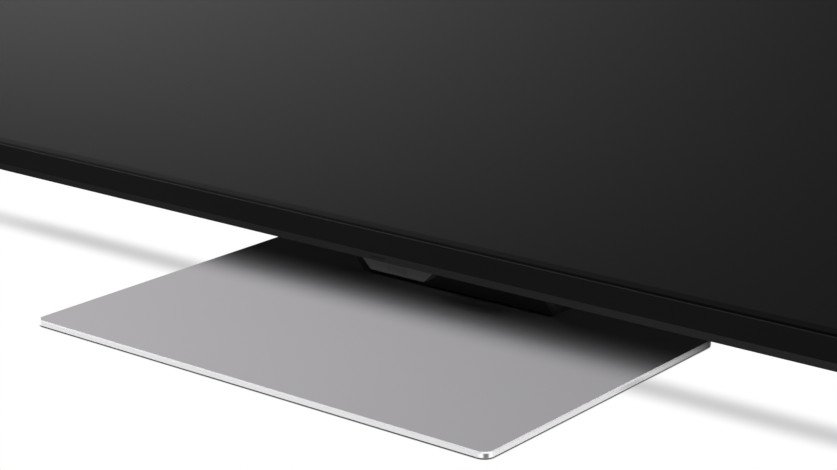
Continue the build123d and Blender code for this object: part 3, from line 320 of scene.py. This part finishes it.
def screen_film(name):
    """The anti-glare film: the picture area, with a blacker border round it."""
    s = new_material(name)
    x, _, z = s.parts(s.place())
    blur = PICTURE_BLUR
    inside = s.spread(s.absolute(x), PICTURE_HALF - blur, PICTURE_HALF + blur, 1.0, 0.0)
    over = s.spread(z, PICTURE_LOW - blur, PICTURE_LOW + blur)
    under = s.spread(z, PICTURE_HIGH - blur, PICTURE_HIGH + blur, 1.0, 0.0)
    picture = s.times(inside, s.times(over, under))
    glossy = s.spread(z, PAINTED_SEAM_SHADE_TOP - blur, PAINTED_SEAM_SHADE_TOP)
    slow = s.noise(scale=2.0)
    sparkle = s.noise(scale=2600.0)
    return s.finish(
        s.principled(
            Base_Color=s.blend(picture, grey(0.0005), grey(0.0009)),
            Roughness=s.follow(slow, 0.50, 0.52),
            Specular_IOR_Level=0.052,
            Specular_Tint=s.blend(glossy, grey(0.0), s.blend(picture, grey(0.55), grey(1.0))),
            Normal=s.bump(sparkle, 0.000004, strength=0.25),
        )
    )


# The bar's foot grows lighter from its left end to its right end, a painted reflection of the floor
FOOT_REACH = 0.6
FOOT_PAINTED_REFLECTION_TONES = (grey(0.019), grey(0.021))
FOOT_RIGHT_PAINTED_REFLECTION_TONE = grey(0.034)
FOOT_FACING = (-0.30, -0.15)
RIM_FACING = (0.2, 0.4)
FACE_TONES = ((0.0074, 0.0074, 0.0075, 1), (0.0084, 0.0084, 0.0085, 1))
RIM_PAINTED_HIGHLIGHT_TONES = (grey(0.010), grey(0.013))


def bar_plastic(name):
    """Dull black on the bar's face; on its sloped foot a lighter tone, partly the plastic and partly a
    painted reflection of the floor; on its top edge a little gloss with a painted highlight.
    """
    s = new_material(name)
    slow = s.noise(scale=10.0, detail=3.0)
    grain = s.bump(s.noise(scale=2500.0), 0.00001, strength=0.5)
    face = s.principled(
        Base_Color=s.blend(slow, *FACE_TONES),
        Roughness=0.6,
        Specular_IOR_Level=0.0,
        Normal=grain,
    )
    # Painted reflection on the foot, growing lighter toward the right end
    painted_reflection_shift = s.spread(s.parts(s.place())[0], -FOOT_REACH, FOOT_REACH)
    foot = s.principled(
        Base_Color=s.blend(painted_reflection_shift, s.blend(slow, *FOOT_PAINTED_REFLECTION_TONES), FOOT_RIGHT_PAINTED_REFLECTION_TONE),
        Roughness=s.follow(slow, 0.36, 0.40),
        Specular_IOR_Level=0.0,
        Normal=grain,
    )
    # The top edge: a little real gloss, and a lighter tone that is a painted highlight
    rim = s.principled(
        Base_Color=s.blend(slow, *RIM_PAINTED_HIGHLIGHT_TONES),
        Roughness=s.follow(slow, 0.40, 0.46),
        Specular_IOR_Level=0.02,
    )
    up = s.facing()[2]
    lower = s.mixed(s.spread(up, *FOOT_FACING), foot, face)
    return s.finish(s.mixed(s.spread(up, *RIM_FACING), lower, rim))


RIB_PITCH = 0.0016
RIB_DEPTH = 0.00012
COVER_TONE = (0.020, 0.020, 0.021)


def cover_plastic(name):
    """The rear cover's plastic, with fine level ribs pressed into it."""
    s = new_material(name)
    z = s.parts(s.place())[2]
    ribs = s.absolute(s.math("SINE", s.times(z, math.pi / RIB_PITCH)))
    slow = s.noise(scale=9.0, detail=3.0)
    fine = s.noise(scale=3300.0)
    return s.finish(
        s.principled(
            Base_Color=s.blend(slow, *around(COVER_TONE, 0.1)),
            Roughness=s.follow(slow, 0.47, 0.53),
            Specular_IOR_Level=0.40,
            Normal=s.bump(fine, 0.00002, strength=0.5, under=s.bump(ribs, RIB_DEPTH, strength=0.6)),
        )
    )


def zinc_steel(name):
    """Zinc-coated steel with its crystal patches."""
    s = new_material(name)
    tone = s.parts(s.cells(scale=70.0)["Color"])[0]
    return s.finish(
        s.principled(
            Base_Color=s.blend(tone, (0.42, 0.43, 0.45, 1), (0.60, 0.61, 0.63, 1)),
            Metallic=1.0,
            Roughness=s.spread(tone, 0.0, 1.0, 0.30, 0.44),
            Normal=s.bump(s.noise(scale=500.0), 0.000005, strength=0.3),
        )
    )


def board_green(name):
    """Green solder resist over copper runs, with small pale pads."""
    s = new_material(name)
    turned = {"Vector": s.place(), "Rotation": (math.pi / 2, 0, 0)}
    upright = s.node("ShaderNodeMapping", turned).outputs[0]
    runs = {"Vector": upright, "Scale": 90.0, "Mortar Size": 0.06}
    runs.update({"Color1": grey(0.0), "Color2": grey(0.4), "Mortar": grey(1.0)})
    lines = s.parts(s.node("ShaderNodeTexBrick", runs).outputs["Color"])[0]
    pads = s.spread(s.cells(scale=520.0)["Distance"], 0.16, 0.20, 1.0, 0.0)
    green = s.blend(lines, (0.008, 0.060, 0.022, 1), (0.016, 0.100, 0.036, 1))
    return s.finish(
        s.principled(
            Base_Color=s.blend(pads, green, (0.45, 0.44, 0.40, 1)),
            Roughness=s.spread(pads, 0.0, 1.0, 0.28, 0.42),
            Specular_IOR_Level=0.5,
            Normal=s.bump(lines, 0.00003, strength=0.5),
        )
    )


def cone_black(name):
    """Pressed paper with loose fibres."""
    s = new_material(name)
    fibres = s.noise(scale=240.0, detail=6.0, stretch=(1, 4, 1))
    return s.finish(
        s.principled(
            Base_Color=s.blend(fibres, grey(0.010), grey(0.030)),
            Roughness=s.follow(fibres, 0.62, 0.78),
            Specular_IOR_Level=0.3,
            Normal=s.bump(fibres, 0.00006, strength=0.6),
        )
    )


CONDUCTOR_PITCH = 0.0005


def ribbon_plastic(name):
    """Flat flexible cable: fine parallel conductors under a thin film."""
    s = new_material(name)
    x = s.parts(s.place())[0]
    wires = s.spread(s.math("SINE", s.times(x, math.tau / CONDUCTOR_PITCH)), -0.2, 0.2)
    return s.finish(
        s.principled(
            Base_Color=s.blend(wires, (0.34, 0.18, 0.05, 1), (0.55, 0.34, 0.12, 1)),
            Roughness=s.follow(s.noise(scale=90.0), 0.22, 0.34),
            Specular_IOR_Level=0.5,
            Normal=s.bump(wires, 0.00002, strength=0.5),
        )
    )


def white_film(name):
    """Optical sheet: milky white with a faint bloom."""
    s = new_material(name)
    slow = s.noise(scale=6.0, detail=3.0)
    return s.finish(
        s.principled(
            Base_Color=s.blend(slow, (0.78, 0.79, 0.80, 1), (0.86, 0.87, 0.88, 1)),
            Roughness=s.follow(slow, 0.36, 0.44),
            Normal=s.bump(s.noise(scale=3000.0), 0.000004, strength=0.3),
        )
    )


def lens_clear(name):
    """The clear plastic of the lenses over the lamps of the backlight."""
    s = new_material(name)
    slow = s.noise(scale=400.0)
    return s.finish(
        s.principled(
            Base_Color=s.blend(slow, grey(0.92), grey(0.97)),
            Roughness=s.follow(slow, 0.03, 0.07),
            Transmission_Weight=0.9,
            IOR=1.49,
        )
    )


def screen_glass(name):
    """The liquid crystal cell's nearly black glass."""
    s = new_material(name)
    slow = s.noise(scale=5.0)
    return s.finish(
        s.principled(
            Base_Color=s.blend(slow, (0.0020, 0.0024, 0.0028, 1), (0.0034, 0.0038, 0.0044, 1)),
            Roughness=s.follow(slow, 0.10, 0.14),
            Specular_IOR_Level=0.3,
        )
    )


# Tone, roughness, specular level, size and depth of the grain, and strength of the mottling
MOULDED = {
    "rubber": ((0.020, 0.020, 0.020), 0.80, 0.25, 0.0006, 0.00004, 0.12),
    "black_steel": ((0.016, 0.016, 0.017), 0.50, 0.0, 0.0009, 0.00005, 0.12),
    "black_plastic": ((0.026, 0.026, 0.027), 0.52, 0.05, 0.0004, 0.00003, 0.12),
    "strip_white": ((0.74, 0.74, 0.72), 0.38, 0.4, 0.0005, 0.00001, 0.03),
    "chip_black": ((0.018, 0.018, 0.019), 0.55, 0.35, 0.0002, 0.00001, 0.12),
    "lead_rubber": ((0.035, 0.035, 0.036), 0.48, 0.45, 0.0008, 0.00002, 0.12),
    "pod_plastic": ((0.025, 0.025, 0.026), 0.45, 0.08, 0.0004, 0.00002, 0.10),
    "pod_window": ((0.025, 0.024, 0.026), 0.40, 0.08, 0.002, 0.00001, 0.06),
}

# Tone, roughness, and the stretch and scale of the marks
METALS = {
    "screw_steel": ((0.16, 0.16, 0.165), 0.34, (1, 1, 1), 700.0),
    "frame_metal": ((0.045, 0.045, 0.047), 0.36, (0.02, 1, 1), 900.0),
    "sink_aluminium": ((0.62, 0.63, 0.65), 0.30, (1, 1, 0.05), 700.0),
    "capacitor_aluminium": ((0.50, 0.51, 0.53), 0.26, (1, 1, 0.2), 300.0),
    "port_metal": ((0.55, 0.54, 0.52), 0.24, (1, 0.2, 1), 500.0),
}

# Materials with a function of their own
SINGLE = {
    "plate_metal": plate_metal,
    "bar_plastic": bar_plastic,
    "cover_plastic": cover_plastic,
    "screen_glass": screen_glass,
    "screen_film": screen_film,
    "white_film": white_film,
    "lens_clear": lens_clear,
    "zinc_steel": zinc_steel,
    "board_green": board_green,
    "ribbon_plastic": ribbon_plastic,
    "cone_black": cone_black,
}


def make_materials():
    made = {slot: build(slot) for slot, build in SINGLE.items()}
    made.update({slot: moulded(slot, *row) for slot, row in MOULDED.items()})
    made.update({slot: metal(slot, *row) for slot, row in METALS.items()})
    return made


def dress_nodes(made):
    for row in frame["record"]["subparts"]:
        mesh = nodes[row["node"]].data
        mesh.materials.clear()
        mesh.materials.append(made[row["material_slot"]])


# Rounded edges: widths of the small radii that the light catches

EDGE_ANGLE = math.radians(35)
FLAT_ANGLE = math.radians(0.6)
WELD_GAP = 0.00001
BEVEL_STEPS = 3
ROUNDED = {
    "bottom_bezel": 0.0004,
    "front_frame": 0.0004,
    "sensor_pod": 0.0008,
    "neck_front_cover": 0.0003,
    "neck_rear_cover": 0.0008,
    "cable_holder": 0.0004,
    "cable_gate": 0.0005,
    "microphone_switch": 0.0003,
    "power_button": 0.0003,
}


def add_bevel(item, width):
    bevel = item.modifiers.new("bevel", "BEVEL")
    bevel.width = width
    bevel.limit_method = "ANGLE"
    bevel.angle_limit = EDGE_ANGLE
    return bevel


def round_edges():
    for name, width in ROUNDED.items():
        node = nodes[name]
        weld = node.modifiers.new("weld", "WELD")
        weld.merge_threshold = WELD_GAP
        flatten = node.modifiers.new("flatten", "DECIMATE")
        flatten.decimate_type = "DISSOLVE"
        flatten.angle_limit = FLAT_ANGLE
        bevel = add_bevel(node, width)
        bevel.segments = BEVEL_STEPS
        bevel.harden_normals = True


# Fine parts of the sockets and screws, placed from the boxes of the nodes that hold them

CORNERS = [(x, y, z) for x in (-0.5, 0.5) for y in (-0.5, 0.5) for z in (-0.5, 0.5)]
SIDES = ((0, 1, 3, 2), (4, 6, 7, 5), (0, 4, 5, 1), (2, 3, 7, 6), (0, 2, 6, 4), (1, 5, 7, 3))
FINE_BEVEL = 0.00015

# Node, its sockets, a socket's width, pieces in a socket and their pitch,
# the pieces' middle from the node's low corner in X and Y, and their size
TONGUES = (
    ("hdmi_ports", 4, 0.016, 1, 0.0, (0.0059, 0.0033), (0.0100, 0.0009, 0.0108)),
    ("usb_ports", 2, 0.015, 1, 0.0, (0.0060, 0.0052), (0.0102, 0.0018, 0.0106)),
)
CONTACTS = (
    ("hdmi_ports", 4, 0.016, 9, 0.0010, (0.0064, 0.0038), (0.0080, 0.0002, 0.00045)),
    ("usb_ports", 2, 0.015, 4, 0.0025, (0.0068, 0.00425), (0.0070, 0.0002, 0.0010)),
    ("network_port", 1, 0.016, 8, 0.00102, (0.0080, 0.0084), (0.0126, 0.00035, 0.0004)),
)
SCREW_ROWS = 4
HEAD_RADIUS = 0.0032
SLOT_LENGTH = 0.0038
SLOT_WIDTH = 0.0008
SLOT_DEPTH = 0.00044
SLOT_PROUD = 0.00002
PIN_SIDES = 24
PIN_RADIUS = 0.0009

# How far the aerial pin's root and tip lie behind the socket's mouth
PIN_ROOT = 0.0125
PIN_TIP = 0.0025


def evenly(first, last, count):
    if count == 1:
        return [(first + last) / 2]
    return [first + (last - first) * index / (count - 1) for index in range(count)]


def socket_parts(table):
    rows = []
    for name, sockets, width, pieces, pitch, offset, size in table:
        low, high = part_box(name)
        for z in evenly(low.z + width / 2, high.z - width / 2, sockets):
            for index in range(pieces):
                step = pitch * (index - (pieces - 1) / 2)
                rows.append(((low.x + offset[0], low.y + offset[1], z + step), size))
    return rows


def cross_slots():
    """Dark crosses that stand for the driver slots in the rear cover's screws: painted shade of the
    recesses, in dark boxes set a little proud of the heads.
    """
    low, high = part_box("rear_cover_screws")
    y = high.y + SLOT_PROUD - SLOT_DEPTH / 2
    rows = []
    for x in (low.x + HEAD_RADIUS, high.x - HEAD_RADIUS):
        for z in evenly(low.z + HEAD_RADIUS, high.z - HEAD_RADIUS, SCREW_ROWS):
            rows.append(((x, y, z), (SLOT_LENGTH, SLOT_DEPTH, SLOT_WIDTH)))
            rows.append(((x, y, z), (SLOT_WIDTH, SLOT_DEPTH + SLOT_PROUD, SLOT_LENGTH)))
    return rows


def add_piece(name, points, faces, slot, made):
    mesh = bpy.data.meshes.new(name)
    mesh.from_pydata(points, [], faces)
    mesh.materials.append(made[slot])
    piece = bpy.data.objects.new(name, mesh)
    bpy.context.scene.collection.objects.link(piece)
    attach(piece, "set")
    add_bevel(piece, FINE_BEVEL)


def add_boxes(name, rows, slot, made):
    points = []
    faces = []
    for middle, size in rows:
        start = len(points)
        points += [tuple(m + s * c for m, s, c in zip(middle, size, corner)) for corner in CORNERS]
        faces += [tuple(start + index for index in side) for side in SIDES]
    add_piece(name, points, faces, slot, made)


def add_aerial_pin(made):
    low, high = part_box("aerial_socket")
    middle = (low + high) / 2
    points = []
    for x in (high.x - PIN_ROOT, high.x - PIN_TIP):
        for index in range(PIN_SIDES):
            turn = math.tau * index / PIN_SIDES
            y = middle.y + PIN_RADIUS * math.cos(turn)
            points.append((x, y, middle.z + PIN_RADIUS * math.sin(turn)))
    faces = [tuple(reversed(range(PIN_SIDES))), tuple(range(PIN_SIDES, 2 * PIN_SIDES))]
    for index in range(PIN_SIDES):
        after = (index + 1) % PIN_SIDES
        faces.append((index, after, after + PIN_SIDES, index + PIN_SIDES))
    add_piece("aerial_pin", points, faces, "port_metal", made)


def add_fine_parts(made):
    add_boxes("socket_tongues", socket_parts(TONGUES), "chip_black", made)
    add_boxes("socket_contacts", socket_parts(CONTACTS), "port_metal", made)
    add_boxes("screw_slots", cross_slots(), "chip_black", made)
    add_aerial_pin(made)


# Floor: white to the camera and to gloss, pale grey to the lamps, with the set's shadow on it

FLOOR_SPAN = 60
FLOOR_TONE = 0.85
SHADOW_SAMPLES = 16

# The soft shadow of the set's body: painted into the floor's white as a stripe under the set, where an
# occlusion test finds that the body hides the sky
BODY_REACH = 0.08
BODY_LEAN = (0.0, -0.2, 0.98)
BODY_DEPTH = 0.39
BODY_HIDDEN = 0.84
BODY_OPEN = 0.95
STRIPE_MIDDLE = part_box("rear_cover")[1].y - 0.017
STRIPE_HALF = 0.032

# The thin dark line of the gap under the plate: painted shade where an occlusion test finds the plate
# close above
LINE_REACH = 0.004
LINE_DEPTH = 0.95
LINE_HIDDEN = 0.25
LINE_OPEN = 0.62


def floor_material():
    """White with the shadows drawn on it to an open view, and plain pale grey to bounced light."""
    s = new_material("floor")
    above = {"Distance": BODY_REACH, "Normal": BODY_LEAN}
    body = s.node("ShaderNodeAmbientOcclusion", above, samples=SHADOW_SAMPLES).outputs["AO"]
    body = s.spread(body, BODY_HIDDEN, BODY_OPEN, BODY_DEPTH, 0.0, smooth=True)
    off_middle = s.absolute(s.math("SUBTRACT", s.parts(s.place())[1], STRIPE_MIDDLE))
    stripe = s.spread(off_middle, 0.0, STRIPE_HALF, 1.0, 0.0, smooth=True)
    close = {"Distance": LINE_REACH}
    line = s.node("ShaderNodeAmbientOcclusion", close, samples=SHADOW_SAMPLES).outputs["AO"]
    line = s.spread(line, LINE_HIDDEN, LINE_OPEN, LINE_DEPTH, 0.0)
    dark = s.math("MAXIMUM", line, s.times(body, stripe))
    glow = s.node("ShaderNodeEmission", {"Color": grey(1.0), "Strength": s.math("SUBTRACT", 1.0, dark)})
    lit = s.node("ShaderNodeBsdfDiffuse", {"Color": grey(FLOOR_TONE)})
    return s.finish(s.mixed(s.open_view(), lit, glow))


def add_floor():
    bpy.ops.mesh.primitive_plane_add(size=FLOOR_SPAN)
    floor = bpy.context.object
    floor.name = "floor"
    floor.data.materials.append(floor_material())
    return floor


# World: white where the camera looks, and a weak fill light elsewhere

WORLD_FILL = 0.007


def add_world():
    s = Shader(bpy.data.worlds.new("studio"), "ShaderNodeOutputWorld")
    strength = s.spread(s.open_view(), 0.0, 1.0, WORLD_FILL, 1.0)
    light = s.node("ShaderNodeBackground", {"Color": grey(1.0), "Strength": strength})
    bpy.context.scene.world = s.finish(light)


# Lamps: place, target, size and power. The skim lamps shine level along the floor,
# low enough to light the plate's cut sides and bevel but not its top

SKIM_HEIGHT = 0.0034
SKIM_SIZE = (0.3, SKIM_HEIGHT)
SKIM_TARGET = (0.0, 0.0, SKIM_HEIGHT)
LAMPS = {
    "key": ((-1.6, -1.52, 2.05), (0, 0, 0.1), (2.4, 1.5), 147),
    "overhead": ((0, 0, 3.2), (0, 0, 0), (6, 0.9), 120),
    "gloss_card": ((-0.881, -0.842, 0.40), (0, 0, 0.2), (1.06, 0.79), 68.7),
    "skim_right": ((1.3, -0.30, SKIM_HEIGHT), SKIM_TARGET, SKIM_SIZE, 10.0),
    "skim_rear": ((0.2, 1.3, SKIM_HEIGHT), SKIM_TARGET, SKIM_SIZE, 10.0),
    "rear_fill": ((1.2, 2.6, 1.7), (0, 0.05, 0.4), (2.0, 1.6), 60),
}
NO_MIRROR_IMAGE = ("key", "skim_right", "skim_rear")
GLOSS_ONLY = ("gloss_card",)


def add_lamp(name):
    spot, target, size, power = LAMPS[name]
    data = bpy.data.lights.new(name, "AREA")
    data.shape = "RECTANGLE"
    data.size, data.size_y = size
    data.energy = power
    lamp = bpy.data.objects.new(name, data)
    lamp.location = spot
    aim(lamp, Vector(target) - Vector(spot))
    lamp.visible_camera = False
    lamp.visible_glossy = name not in NO_MIRROR_IMAGE
    lamp.visible_diffuse = name not in GLOSS_ONLY
    bpy.context.scene.collection.objects.link(lamp)
    return lamp


def limit_lamp(lamp, state, items):
    """Lights only the given objects, or all but them."""
    group = bpy.data.collections.new(lamp.name + "_reach")
    for item in items:
        group.objects.link(item)
    lamp.light_linking.receiver_collection = group
    for entry in group.collection_objects:
        entry.light_linking.link_state = state


def add_lamps(floor):
    plate = nodes["base_plate"]
    reach = {
        "key": ("EXCLUDE", [floor]),
        "overhead": ("INCLUDE", [floor]),
        "gloss_card": ("EXCLUDE", [floor, plate]),
        "skim_right": ("INCLUDE", [plate]),
        "skim_rear": ("INCLUDE", [plate]),
        "rear_fill": ("EXCLUDE", [floor, plate, nodes["neck_front_cover"]]),
    }
    for name, (state, items) in reach.items():
        limit_lamp(add_lamp(name), state, items)


materials = make_materials()
add_camera()
add_world()
add_lamps(add_floor())
dress_nodes(materials)
add_fine_parts(materials)
round_edges()

bpy.context.scene.view_settings.view_transform = "Standard"
